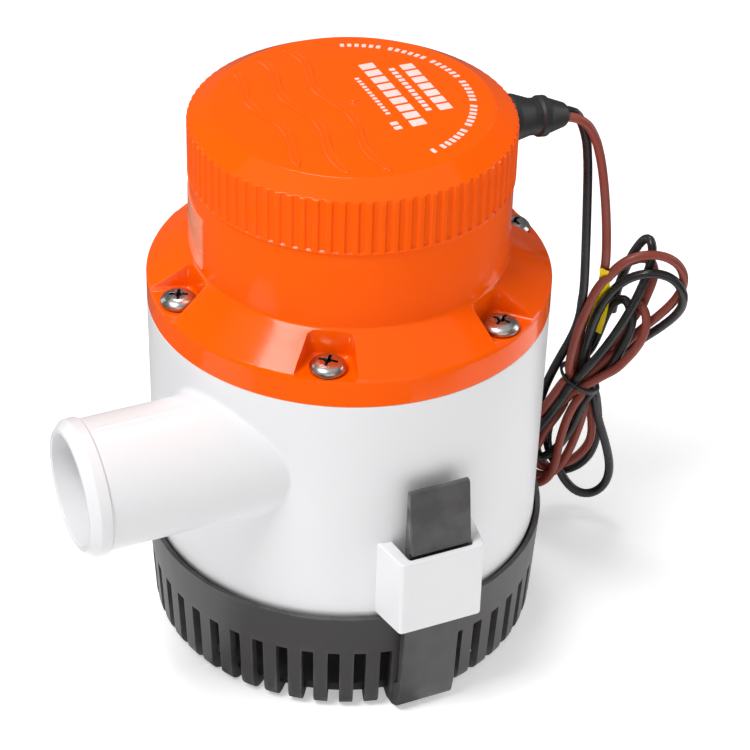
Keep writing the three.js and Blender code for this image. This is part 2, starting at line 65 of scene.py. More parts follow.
def add_camera():
    """A long lens in front of the pump, looking down at it, with the small turns a hand-held shot has."""
    elevation, yaw, pitch, roll = (math.radians(a) for a in (36.734, 0.62, 1.327, 1.302))
    distance = 827.638
    target = Vector((0, 0, 61.7))
    forward = Vector((0, math.cos(elevation), -math.sin(elevation)))
    right = Vector((1, 0, 0))
    up = right.cross(forward)
    eye = target - forward * distance
    yawed = forward * math.cos(yaw) + right * math.sin(yaw)
    side = right * math.cos(yaw) - forward * math.sin(yaw)
    look = yawed * math.cos(pitch) + up * math.sin(pitch)
    top = up * math.cos(pitch) - yawed * math.sin(pitch)
    x_axis = side * math.cos(roll) + top * math.sin(roll)
    y_axis = top * math.cos(roll) - side * math.sin(roll)
    turn = Matrix.Rotation(HANK_TURN, 3, "Z")
    basis = Matrix((turn @ x_axis, turn @ y_axis, turn @ -look)).transposed()
    data = bpy.data.cameras.new("camera")
    data.lens = 124.06
    data.sensor_width = 36
    data.clip_start = 0.05
    data.clip_end = 20
    camera = bpy.data.objects.new("camera", data)
    camera.matrix_world = Matrix.Translation(turn @ eye * MM) @ basis.to_4x4()
    scene.collection.objects.link(camera)
    scene.camera = camera


def add_area_light(name, azimuth, elevation, distance, size, power, colour=(1, 1, 1)):
    """A softbox aimed at the pump's middle. Azimuth 0 is the camera's side, and 90 is to its right."""
    turn = math.radians(azimuth) + HANK_TURN
    rise = math.radians(elevation)
    centre = Vector((0, 0, 0.09))
    away = Vector((math.sin(turn) * math.cos(rise), -math.cos(turn) * math.cos(rise), math.sin(rise)))
    data = bpy.data.lights.new(name, "AREA")
    data.shape = "RECTANGLE"
    data.size, data.size_y = size
    data.energy = power
    data.color = colour
    light = bpy.data.objects.new(name, data)
    light.location = centre + away * distance
    light.rotation_euler = (-away).to_track_quat("-Z", "Y").to_euler()
    scene.collection.objects.link(light)


add_camera()
add_area_light("key_softbox", -51, 60, 1.3, (0.54, 0.5), 13)
add_area_light("front_fill", 12, 20, 1.6, (1.6, 1.2), 4.6)
add_area_light("left_fill", -75, 22, 1.4, (0.8, 1.2), 0.3, (1, 0.98, 0.97))
add_area_light("left_card", -118, 12, 0.9, (0.3, 0.8), 0.8)
add_area_light("right_card", 108, 12, 0.9, (0.3, 0.8), 1.9)
add_area_light("back_softbox", -166, 66, 1.2, (0.26, 0.26), 2.2)
add_area_light("top_softbox", 20, 84, 1.5, (2.2, 2.2), 6.2)

world = bpy.data.worlds.new("studio")
world.use_nodes = True
world.node_tree.nodes["Background"].inputs["Color"].default_value = (1, 1, 1, 1)
world.node_tree.nodes["Background"].inputs["Strength"].default_value = 0.13
scene.world = world
scene.view_settings.view_transform = "Standard"


# ---------------------------------------------------------------- mesh helpers

def link(name, data):
    obj = bpy.data.objects.new(name, data)
    scene.collection.objects.link(obj)
    return obj


def make_object(name, verts, faces):
    mesh = bpy.data.meshes.new(name)
    mesh.from_pydata([(x * MM, y * MM, z * MM) for x, y, z in verts], [], faces)
    mesh.validate()
    obj = link(name, mesh)
    fix_normals(obj)
    return obj


def fix_normals(obj):
    work = bmesh.new()
    work.from_mesh(obj.data)
    bmesh.ops.remove_doubles(work, verts=work.verts, dist=1e-7)
    bmesh.ops.recalc_face_normals(work, faces=work.faces)
    work.to_mesh(obj.data)
    work.free()


def apply_modifiers(obj):
    evaluated = obj.evaluated_get(bpy.context.evaluated_depsgraph_get())
    mesh = bpy.data.meshes.new_from_object(evaluated)
    obj.modifiers.clear()
    obj.data = mesh


def boolean(obj, tool, operation="DIFFERENCE"):
    modifier = obj.modifiers.new("boolean", "BOOLEAN")
    modifier.object = tool
    modifier.operation = operation
    modifier.solver = "EXACT"
    apply_modifiers(obj)
    bpy.data.objects.remove(tool)


def bevel(obj, width, segments=2, angle=32):
    modifier = obj.modifiers.new("bevel", "BEVEL")
    modifier.width = width * MM
    modifier.segments = segments
    modifier.limit_method = "ANGLE"
    modifier.angle_limit = math.radians(angle)
    modifier.miter_outer = "MITER_ARC"
    apply_modifiers(obj)


def shade(obj, angle=38):
    """Smooth shading with flat faces kept flat-looking next to their bevels."""
    obj.data.polygons.foreach_set("use_smooth", [True] * len(obj.data.polygons))
    obj.data.set_sharp_from_angle(angle=math.radians(angle))
    modifier = obj.modifiers.new("normals", "WEIGHTED_NORMAL")
    modifier.keep_sharp = True
    apply_modifiers(obj)


def join_shaded(name, objects):
    """Joins closed shells into one piece and keeps the shading that each was given."""
    with bpy.context.temp_override(active_object=objects[0], object=objects[0], selected_objects=objects,
                                   selected_editable_objects=objects):
        bpy.ops.object.join()
    objects[0].name = name
    objects[0].data.name = name
    return objects[0]


def rounded(points, closed=False, steps=5):
    """A profile of (a, b) or (a, b, radius) points, with an arc at each corner that has a radius."""
    result = []
    count = len(points)
    for i, point in enumerate(points):
        here = Vector(point[:2])
        radius = point[2] if len(point) > 2 else 0
        if radius <= 0 or (not closed and i in (0, count - 1)):
            result.append(tuple(here))
            continue
        before = Vector(points[i - 1][:2]) - here
        after = Vector(points[(i + 1) % count][:2]) - here
        half = before.angle(after) / 2
        reach = min(radius / math.tan(half), 0.49 * before.length, 0.49 * after.length)
        radius = reach * math.tan(half)
        centre = here + (before.normalized() + after.normalized()).normalized() * radius / math.sin(half)
        first = here + before.normalized() * reach - centre
        last = here + after.normalized() * reach - centre
        sweep = math.atan2(first.cross(last), first.dot(last))
        for k in range(steps + 1):
            turn = Matrix.Rotation(sweep * k / steps, 2)
            result.append(tuple(centre + turn @ first))
    return result


def lathe(name, profile, segments=128, closed=False):
    """Turns a profile of (radius, height[, corner radius]) points about Z."""
    points = rounded(profile, closed)
    verts = []
    rings = []
    for radius, height in points:
        if radius < 1e-6:
            rings.append([len(verts)] * segments)
            verts.append((0, 0, height))
            continue
        rings.append(list(range(len(verts), len(verts) + segments)))
        for i in range(segments):
            angle = TAU * i / segments
            verts.append((radius * math.cos(angle), radius * math.sin(angle), height))
    faces = []
    pairs = list(zip(rings, rings[1:] + rings[:1])) if closed else list(zip(rings, rings[1:]))
    for lower, upper in pairs:
        for i in range(segments):
            j = (i + 1) % segments
            corners = list(dict.fromkeys((lower[i], lower[j], upper[j], upper[i])))
            if len(corners) > 2:
                faces.append(corners)
    return make_object(name, verts, faces)


def extrude(name, outline, low, high, place=lambda a, b, c: (a, b, c)):
    """Extrudes an outline of (a, b[, corner radius]) points from c = low to c = high.

    place() puts each (a, b, c) in the part's frame.
    """
    points = rounded(outline, closed=True)
    count = len(points)
    verts = [place(a, b, low) for a, b in points] + [place(a, b, high) for a, b in points]
    faces = [list(range(count)), list(range(2 * count - 1, count - 1, -1))]
    faces += [(i, (i + 1) % count, (i + 1) % count + count, i + count) for i in range(count)]
    return make_object(name, verts, faces)


def turn_about_z(obj, angle):
    obj.data.transform(Matrix.Rotation(angle, 4, "Z"))
    return obj


def finish_piece(obj, body, slot, material, *nodes):
    """What every piece needs: a material, a body to ride on and the CAD nodes it stands for. The slot
    argument is not used.
    """
    obj.data.materials.clear()
    obj.data.materials.append(material)
    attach(obj, body)
    if nodes:
        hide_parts(*nodes)
    return obj


# ---------------------------------------------------------------- materials

class Shader:
    """A Principled material with a few short ways to add nodes to it."""

    def __init__(self, name):
        self.material = bpy.data.materials.new(name)
        self.material.use_nodes = True
        self.tree = self.material.node_tree
        self.surface = self.tree.nodes["Principled BSDF"]
        self.place = self.add("ShaderNodeTexCoord").outputs["Object"]

    def add(self, kind, settings=None, **inputs):
        node = self.tree.nodes.new(kind)
        for key, value in (settings or {}).items():
            setattr(node, key, value)
        for key, value in inputs.items():
            self.set(node.inputs[key.replace("_", " ")], value)
        return node

    def set(self, socket, value):
        if isinstance(value, bpy.types.NodeSocket):
            self.tree.links.new(value, socket)
        elif isinstance(value, tuple) and len(value) == 3 and socket.type == "RGBA":
            socket.default_value = (*value, 1)
        else:
            socket.default_value = value

    def noise(self, scale, detail=3, stretch=None, roughness=0.5):
        place = self.place
        if stretch:
            place = self.add("ShaderNodeMapping", Vector=place, Scale=stretch).outputs["Vector"]
        node = self.add("ShaderNodeTexNoise", Vector=place, Scale=scale, Detail=detail, Roughness=roughness)
        return node.outputs["Fac"]

    def remap(self, value, low, high, to_low, to_high):
        node = self.add("ShaderNodeMapRange", {"clamp": True}, Value=value)
        for key, number in zip(("From Min", "From Max", "To Min", "To Max"), (low, high, to_low, to_high)):
            node.inputs[key].default_value = number
        return node.outputs["Result"]

    def mix(self, factor, first, second):
        node = self.add("ShaderNodeMix", {"data_type": "RGBA"})
        self.set(node.inputs["Factor"], factor)
        self.set(node.inputs[6], first)
        self.set(node.inputs[7], second)
        return node.outputs[2]

    def maths(self, operation, first, second):
        node = self.add("ShaderNodeMath", {"operation": operation})
        self.set(node.inputs[0], first)
        self.set(node.inputs[1], second)
        return node.outputs[0]

    def bump(self, height, strength, distance):
        node = self.add("ShaderNodeBump", Height=height, Strength=strength, Distance=distance)
        self.set(self.surface.inputs["Normal"], node.outputs["Normal"])


def scaled(colour, share):
    return tuple(min(1, c * share) for c in colour)


def moulded(name, colour, gloss, *, spread=0.05, grain=900, depth=0.00003, wear=0.25, coat=0.0,
            shine=0.5, scuff=0.1):
    """Injection-moulded plastic: cloudy tint, fine grain, faint handling marks and paler worn edges."""
    s = Shader(name)
    clouds = s.noise(14, 4)
    tint = s.mix(s.remap(clouds, 0.3, 0.7, 0, 1), scaled(colour, 1 - spread), scaled(colour, 1 + spread))
    edges = s.add("ShaderNodeNewGeometry").outputs["Pointiness"]
    worn = s.remap(edges, 0.52, 0.6, 0, wear)
    rubbed = s.maths("MULTIPLY", worn, s.remap(s.noise(120, 3), 0.4, 0.65, 0, 1))
    pale = tuple(c + (1 - c) * 0.45 for c in colour)
    s.set(s.surface.inputs["Base Color"], s.mix(rubbed, tint, pale))
    marks = s.noise(60, 5, (1, 1, 7), 0.65)
    s.set(s.surface.inputs["Roughness"], s.remap(marks, 0.35, 0.75, gloss, gloss + scuff))
    s.bump(s.noise(grain, 2), 0.35, depth)
    s.surface.inputs["Specular IOR Level"].default_value = shine
    s.surface.inputs["Coat Weight"].default_value = coat
    s.surface.inputs["Coat Roughness"].default_value = 0.08
    return s.material


def metal(name, colour, gloss, *, grain=400, stretch=(1, 1, 1), depth=0.00001, recess_shade=0.0):
    """Worked metal: brushed or cast grain in colour, roughness and bump, with painted shade darkening its
    recesses.
    """
    s = Shader(name)
    clouds = s.noise(25, 4)
    tint = s.mix(clouds, scaled(colour, 0.86), scaled(colour, 1.06))
    # painted shade: ambient occlusion pulls the colour towards near black in recesses, such as the screws'
    # cross
    if recess_shade:
        open_sky = s.add("ShaderNodeAmbientOcclusion", {"samples": 8}, Distance=0.003).outputs["AO"]
        tint = s.mix(s.remap(open_sky, 0.15, 0.75, recess_shade, 0), tint, scaled(colour, 0.03))
    s.set(s.surface.inputs["Base Color"], tint)
    fine = s.noise(grain, 3, stretch)
    s.set(s.surface.inputs["Roughness"], s.remap(fine, 0.3, 0.75, gloss, gloss + 0.16))
    s.surface.inputs["Metallic"].default_value = 1
    s.bump(fine, 0.3, depth)
    return s.material


WHITE = moulded("white_plastic", (0.79, 0.79, 0.803), 0.3, spread=0.012, wear=0.1)
ORANGE = moulded("orange_plastic", (1.0, 0.107, 0.0), 0.09, spread=0.02, wear=0.1, shine=0.24)
GREY = moulded("grey_plastic", (0.063, 0.059, 0.061), 0.46, spread=0.04, grain=1400, depth=0.00006,
               wear=0.35, scuff=0.05)
# the stainless screws get painted shade from ambient occlusion in their cross recesses
STAINLESS = metal("stainless", (0.6, 0.58, 0.56), 0.2, recess_shade=0.95)
RUBBER = moulded("rubber", (0.018, 0.018, 0.019), 0.45, spread=0.15, grain=1600, depth=0.00005, wear=0.2)
STEEL = metal("motor_steel", (0.5, 0.51, 0.53), 0.28, stretch=(1, 1, 9))
COPPER = metal("copper", (0.72, 0.3, 0.14), 0.25, stretch=(1, 1, 6))
FERRITE = moulded("ferrite", (0.05, 0.05, 0.055), 0.55, spread=0.1)
RESIN = moulded("resin", (0.03, 0.03, 0.032), 0.4, spread=0.1)
LABEL = moulded("label_film", (0.97, 0.27, 0.13), 0.2, spread=0.05, wear=0.1, coat=0.3)
BROWN = moulded("brown_insulation", (0.25, 0.046, 0.028), 0.32, spread=0.12, grain=500, wear=0.1,
                coat=0.04, shine=0.34)
BLACK = moulded("black_insulation", (0.009, 0.008, 0.0085), 0.26, spread=0.15, grain=500, wear=0.1,
                coat=0.15, shine=0.4)
YELLOW = moulded("yellow_film", (0.92, 0.68, 0.0), 0.4, spread=0.08, wear=0.05, shine=0.25)
PRINT = moulded("pale_print", (0.95, 0.66, 0.62), 0.35, spread=0.04, wear=0.3)
FLOOR = moulded("floor", (0.9, 0.9, 0.9), 0.7, spread=0.01, wear=0.0, grain=200)

floor_surface = FLOOR.node_tree.nodes["Principled BSDF"]
floor_surface.inputs["Emission Color"].default_value = (1, 1, 1, 1)
floor_surface.inputs["Emission Strength"].default_value = 0.38

FLOOR_REACH = 4500
SHEET_LIFT = 0.05       # the two small sheets lie this far above the floor


def floor_sheet(name, outline, height, in_gloss):
    """A flat sheet of the pale floor, turned like the camera, that glossy plastic may mirror or not."""
    turn = Matrix.Rotation(HANK_TURN, 3, "Z")
    corners = [turn @ Vector((x, y, height)) for x, y in outline]
    obj = make_object(name, corners, [tuple(range(len(corners)))])
    obj.data.materials.append(FLOOR)
    obj.visible_glossy = in_gloss


# Glossy surfaces mirror only two small sheets, on the pump's right and at its left foot. The whole floor
# in the gloss would wash out the orange.
floor_sheet("floor", [(-FLOOR_REACH, -FLOOR_REACH), (FLOOR_REACH, -FLOOR_REACH),
                      (FLOOR_REACH, FLOOR_REACH), (-FLOOR_REACH, FLOOR_REACH)], 0, False)
floor_sheet("floor_right", [(0, 0), (48, -110), (121, -192), (220, -101), (236, 60), (196, 112)],
            SHEET_LIFT, True)
floor_sheet("floor_left", [(0, 0), (-84, -84), (-124, -20), (-104, 48)], SHEET_LIFT, True)

SLOT_MATERIALS = {
    "white_plastic": WHITE, "orange_plastic": ORANGE, "grey_plastic": GREY, "stainless": STAINLESS,
    "rubber": RUBBER, "motor_steel": STEEL, "copper": COPPER, "ferrite": FERRITE, "resin": RESIN,
    "label_film": LABEL, "brown_insulation": BROWN, "black_insulation": BLACK, "yellow_film": YELLOW,
}
for entry in frame["record"]["subparts"]:
    node = frame["nodes"][entry["node"]]
    for material_slot in node.material_slots:
        material_slot.material = SLOT_MATERIALS[entry["material_slot"]]


# ---------------------------------------------------------------- strainer

SLOT_COUNT = 48
SLOT_WIDTH = 3.7
PITCH = TAU / SLOT_COUNT
SLOT_FOOT = 32              # inside this radius the floor's cells no longer follow the slots
FLOOR_HOLE_CIRCLE = 30      # radius of the circle of the four screw holes in the floor
ARM_HALF_WIDTH = 9.3


def strainer_basket():
    """A polar shell: columns of cells round the basket, with the cells of each slot left out."""
    outer = [(63.7, 38.3), (63.62, 36.6), (63.57, 35.9), (63.5, 34.4), (63.3, 31), (62.86, 23.8),
             (62.47, 17), (62.12, 11), (61.8, 5.5)]
    foot = 5.5
    turns = [math.pi / 8 * k for k in range(1, 5)]
    outer += [(56.3 + foot * math.cos(a), foot - foot * math.sin(a)) for a in turns]
    outer += [(53, 0), (30, 0), (12, 0), (0, 0)]
    inner = [(62.1, 38.3), (62.05, 36.6), (62.05, 35.7), (57.6, 35.7), (60.4, 31), (60.0, 23.8),
             (59.5, 17), (59.1, 11), (58.7, 6.2), (58.2, 5), (57.4, 4), (56.6, 3.3), (55.6, 3),
             (53, 3), (30, 3), (12, 3), (0, 3)]
    slot_rows = range(5, 13)

    def azimuth(column, radius):
        index, part = divmod(column, 4)
        centre = (index + 0.5) * PITCH
        widest = 0.4 * PITCH
        half = math.asin(SLOT_WIDTH / 2 / radius) if radius > SLOT_FOOT else widest
        half = min(half, widest)
        left, right = centre - half, centre + half
        after = centre + PITCH - half
        return (left, right, right + (after - right) / 3, right + (after - right) * 2 / 3)[part]

    columns = SLOT_COUNT * 4
    rows = len(outer)
    verts = []
    for column in range(columns):
        for layer in (outer, inner):
            for radius, height in layer:
                angle = azimuth(column, radius)
                verts.append((radius * math.cos(angle), radius * math.sin(angle), height))

    def vert(column, layer, row):
        return (column % columns) * 2 * rows + layer * rows + row

    def is_open(column, row):
        index, part = divmod(column % columns, 4)
        beside_arm = abs(math.cos((index + 0.5) * PITCH)) < math.sin(PITCH)
        return part == 0 and row in slot_rows and not beside_arm

    faces = []

    def add_face(*corners):
        faces.append([vert(*corner) for corner in corners])

    for column in range(columns):
        for row in range(rows - 1):
            if is_open(column, row):
                continue
            add_face((column, 0, row), (column + 1, 0, row), (column + 1, 0, row + 1), (column, 0, row + 1))
            add_face((column, 1, row), (column, 1, row + 1), (column + 1, 1, row + 1), (column + 1, 1, row))
            for side in (0, 1):
                if is_open(column + (1 if side else -1), row):
                    a = column + side
                    add_face((a, 0, row), (a, 0, row + 1), (a, 1, row + 1), (a, 1, row))
            for step in (-1, 1):
                if 0 <= row + step < rows - 1 and is_open(column, row + step):
                    r = row + (1 if step > 0 else 0)
                    add_face((column, 0, r), (column, 1, r), (column + 1, 1, r), (column + 1, 0, r))
        add_face((column, 0, 0), (column, 1, 0), (column + 1, 1, 0), (column + 1, 0, 0))
    basket = make_object("strainer", verts, faces)
    for i in range(4):
        angle = (i + 0.5) * math.pi / 2
        hole = lathe("hole", [(0, -1), (2.6, -1), (2.6, 1.6), (4.6, 3.1), (4.6, 4), (0, 4)], 32)
        centre = Vector((FLOOR_HOLE_CIRCLE * math.cos(angle), FLOOR_HOLE_CIRCLE * math.sin(angle), 0))
        hole.data.transform(Matrix.Translation(centre * MM))
        boolean(basket, hole)
    bevel(basket, 0.42, 2, 40)
    shade(basket, 35)
    return basket


def snap_arm(name, side):
    """One blade from the basket's foot up through the clip box, with its wedge-shaped catch."""
    outline = [
        (57, 0), (60.4, 0, 3), (64.9, 2.6, 4), (66.1, 9, 10), (68.2, 45, 20), (68.2, 66.8, 0.3),
        (70.2, 66.8, 0.4), (67.4, 87.5, 0.5), (66.8, 88.4, 0.5), (65.2, 88.4, 0.5), (65.2, 45, 20),
        (64, 12, 1.8), (61, 9.3, 1), (57, 9.3),
    ]

    def place(y, z, x):
        """Inside the clip box the blade grows a little wider, and it leans to one side."""
        upper = min(1, max(0, (z - 42) / 24))
        return (-side * (x * (1 + 0.05 * upper) + 0.8 * upper), side * y, z)
    arm = extrude(name, outline, -ARM_HALF_WIDTH, ARM_HALF_WIDTH, place)
    bevel(arm, 0.7, 3, 50)
    shade(arm)
    return arm


finish_piece(strainer_basket(), "strainer", "grey_plastic", GREY, "strainer_basket")
for side, place in ((-1, "front"), (1, "rear")):
    arm = snap_arm(f"catch_arm_{place}", side)
    arm.data.materials.append(GREY)
    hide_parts(f"snap_arm_{place}")
    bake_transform(arm)


# ---------------------------------------------------------------- pump housing

SPIGOT_RADIUS = 20.05
SPIGOT_Y = -27.8
SPIGOT_Z = 88.7
SPIGOT_BORE = 17
CHAMBER_RADIUS = 58.8
TIP_INSIDE = 90             # the spigot's tip is drawn outwards from here in the bore,
TIP_OUTSIDE = 92            # and back to here on the barrel
SEAM_HEIGHT = 0.14          # the faint parting line along the barrel


def body_radius(height):
    return 61.5 + 0.5 * (height - 40) / 77.5


def spigot():
    """The hose spigot: bore, lip, bead and barrel, with a fillet where it grows out of the round body."""
    fillet = 2.0
    around = sorted([TAU * i / 128 for i in range(128)]
                    + [s * math.pi / 2 + d for s in (1, 3) for d in (-0.025, -0.012, 0.012, 0.025)])
    tip = rounded([(SPIGOT_BORE, TIP_INSIDE), (SPIGOT_BORE, 100.8, 0.5), (18.5, 100.8, 0.7), (20.95, 98, 1),
                   (20.95, 94.5, 0.4), (SPIGOT_RADIUS, 94.1, 0.5), (SPIGOT_RADIUS, TIP_OUTSIDE)])
    columns = []
    for angle in around:
        c, s = math.cos(angle), math.sin(angle)
        seam = SEAM_HEIGHT * math.exp(-((abs(s) - 1) / 0.00012) ** 2) if abs(s) > 0.999 else 0
        column = [Vector((-d, SPIGOT_Y + r * c, SPIGOT_Z + r * s)) for r, d in tip[:-1]]
        ball = fillet + SPIGOT_RADIUS
        y, z = SPIGOT_Y + ball * c, SPIGOT_Z + ball * s
        wall = body_radius(z)
        x = -math.sqrt((wall + fillet) ** 2 - y ** 2)
        for k in range(8):
            d = TIP_OUTSIDE + (-x - TIP_OUTSIDE) * k / 8
            r = SPIGOT_RADIUS + seam
            column.append(Vector((-d, SPIGOT_Y + r * c, SPIGOT_Z + r * s)))
        centre = Vector((x, y, z))
        start = Vector((0, -c, -s))
        end = Vector((-x, -y, 0)).normalized()
        sweep = start.angle(end)
        for k in range(9):
            t = k / 8
            way = (start * math.sin((1 - t) * sweep) + end * math.sin(t * sweep)) / math.sin(sweep)
            column.append(centre + way * fillet)
        foot = column[-1]
        inward = Vector((foot.x, foot.y, 0)).normalized()
        column.append(foot - inward * 1.2)
        y = SPIGOT_Y + SPIGOT_BORE * c
        depth = math.sqrt((CHAMBER_RADIUS + 0.2) ** 2 - y ** 2)
        for d in (depth, depth + (TIP_INSIDE - depth) / 2):
            column.append(Vector((-d, y, SPIGOT_Z + SPIGOT_BORE * s)))
        columns.append(column)
    count = len(columns[0])
    verts = [tuple(v) for column in columns for v in column]
    faces = []
    for i in range(len(columns)):
        j = (i + 1) % len(columns)
        for k in range(count):
            n = (k + 1) % count
            faces.append((i * count + k, j * count + k, j * count + n, i * count + n))
    piece = make_object("spigot", verts, faces)
    shade(piece, 50)
    return piece


def clip_box(side):
    """A pocket on the body's side that the snap arm comes up through."""

    def flat(a, b, c):
        return (-side * a, -side * b, c)
    box_outer = [(-13.2, -72.5, 1.5), (14, -72.5, 1.5), (16.6, -58), (-16, -58)]
    box_inner = [(-9.9, -70.6, 0.8), (10.9, -70.6, 0.8), (12.4, -56), (-11.6, -56)]
    piece = extrude("clip_box", box_outer, 39.5, 66.5, flat)
    boolean(piece, extrude("opening", box_inner, 35, 70, flat))
    bevel(piece, 0.55, 3, 40)
    shade(piece)
    return piece


def pump_housing():
    shell = lathe("shell", [
        (59.8, 36, 0.8), (61.0, 36.8, 1.2), (61.5, 40, 3), (62, 117.5, 0.3), (52, 117.5, 0.3), (52, 108),
        (CHAMBER_RADIUS, 101), (CHAMBER_RADIUS, 36, 0.3),
    ], 240, closed=True)
    bore = lathe("bore", [(0, 30), (SPIGOT_BORE, 30), (SPIGOT_BORE, TIP_INSIDE), (0, TIP_INSIDE)], 96)
    lie_down = Matrix.Rotation(-math.pi / 2, 4, "Y")
    bore.data.transform(Matrix.Translation(Vector((0, SPIGOT_Y, SPIGOT_Z)) * MM) @ lie_down)
    boolean(shell, bore)
    shade(shell, 32)
    return join_shaded("pump_body", [shell, spigot(), clip_box(-1), clip_box(1)])


finish_piece(pump_housing(), "pump", "white_plastic", WHITE, "pump_housing")


# ---------------------------------------------------------------- motor housing

NECK_RADIUS = 48.5
FLANGE_SEAT = 126.2
SCREW_COUNT = 6
SCREW_CIRCLE = 55.6
SCREW_TOP = 129.6


def screw_pocket(angle):
    """A notch that widens towards the rim, rounded at its back corners and along its foot."""
    back, mouth = (49.0, 6.2), (70, 12.2)
    foot = 1.4
    steps = 5
    rings = []
    for k in range(steps + 1):
        turn = k / steps * math.pi / 2
        rings.append((foot * (1 - math.sin(turn)), FLANGE_SEAT + foot * (1 - math.cos(turn))))
    rings.append((-0.5, FLANGE_SEAT + 12))
    verts, faces = [], []
    for inset, height in rings:
        near = back[0] + max(0, inset)
        plan = rounded([(near, -back[1] + inset, 2.4), (mouth[0], -mouth[1] + inset),
                        (mouth[0], mouth[1] - inset), (near, back[1] - inset, 2.4)], closed=True)
        verts += [(a, b, height) for a, b in plan]
    count = len(plan)
    for k in range(len(rings) - 1):
        low, high = k * count, (k + 1) * count
        faces += [(low + i, low + (i + 1) % count, high + (i + 1) % count, high + i) for i in range(count)]
    faces += [list(range(count)), list(range(len(verts) - 1, len(verts) - count - 1, -1))]
    return turn_about_z(make_object("pocket", verts, faces), angle)


def motor_housing():
    housing = lathe("motor_body", [
        (45.5, 161, 0.3), (NECK_RADIUS, 161, 0.3), (NECK_RADIUS, 135.6, 1.2), (50.1, 134.5, 1.6),
        (61.5, 126.9, 1.1), (62, 125.9, 0.8), (62, 117.55, 0.2), (51.7, 117.55), (51.7, 110.5),
        (41, 104, 1), (41, 62, 2), (11, 62), (11, 58.6), (8, 58.6), (8, 63.6), (4.2, 63.6), (4.2, 65),
        (37.5, 65), (37.5, 121), (45.5, 125),
    ], 180, closed=True)
    for i in range(SCREW_COUNT):
        boolean(housing, screw_pocket(i * TAU / SCREW_COUNT))
    bevel(housing, 0.55, 3, 33)
    shade(housing, 30)
    return housing


def flange_screw():
    """A domed pan head with a cross recess, and the shank below it."""
    seat = FLANGE_SEAT + 0.3
    screw = lathe("screw", [
        (0, 107), (2.1, 108.4), (2.1, seat), (5.5, seat, 0.3), (5.5, SCREW_TOP - 1.9, 0.7),
        (4.7, SCREW_TOP - 0.85, 2.5), (3.2, SCREW_TOP - 0.2, 4), (0, SCREW_TOP),
    ], 64)
    for turn in (0, math.pi / 2):
        slot = extrude("cross", [(-2.9, -0.5, 0.2), (2.9, -0.5, 0.2), (2.9, 0.5, 0.2), (-2.9, 0.5, 0.2)],
                       SCREW_TOP - 2.2, SCREW_TOP + 1)
        boolean(screw, turn_about_z(slot, turn))
    well = lathe("well", [(0, SCREW_TOP - 2.8), (0.8, SCREW_TOP - 2.4), (1.5, SCREW_TOP + 0.6),
                          (0, SCREW_TOP + 0.6)], 24)
    boolean(screw, well)
    bevel(screw, 0.1, 2, 40)
    shade(screw, 40)
    return screw


finish_piece(motor_housing(), "pump", "orange_plastic", ORANGE, "motor_housing")
pattern = flange_screw()
for i in range(SCREW_COUNT):
    mesh = pattern.data.copy()
    mesh.transform(Matrix.Rotation(0.4 + 1.3 * i, 4, "Z"))
    angle = i * TAU / SCREW_COUNT
    centre = Vector((SCREW_CIRCLE * math.cos(angle), SCREW_CIRCLE * math.sin(angle), 0))
    mesh.transform(Matrix.Translation(centre * MM))
    finish_piece(link(f"pan_screw_{i + 1}", mesh), "pump", "stainless", STAINLESS, f"flange_screw_{i + 1}")
bpy.data.objects.remove(pattern)


# ---------------------------------------------------------------- top cap

CAP_RADIUS = 49
RIB_COUNT = 80
RIB_DEPTH = 0.62
GROOVE_EDGE = 0.62      # how far out from a groove's middle it ends, as a share of half a rib's pitch
GROOVE_SLOPE = 0.25     # and the share that its side takes
LEDGE = 161.48          # the grooves start to deepen at this height
LEDGE_RISE = 0.52       # and are at full depth this much higher
DISC_BEND = 28          # the top falls more steeply outside this radius


def disc_height(radius):
    """The cap's top: a very flat cone, and a steeper one round it."""
    if radius < DISC_BEND:
        return 183.9 - 0.45 * radius / DISC_BEND
    return 183.45 - 1.05 * (radius - DISC_BEND) / 13.8


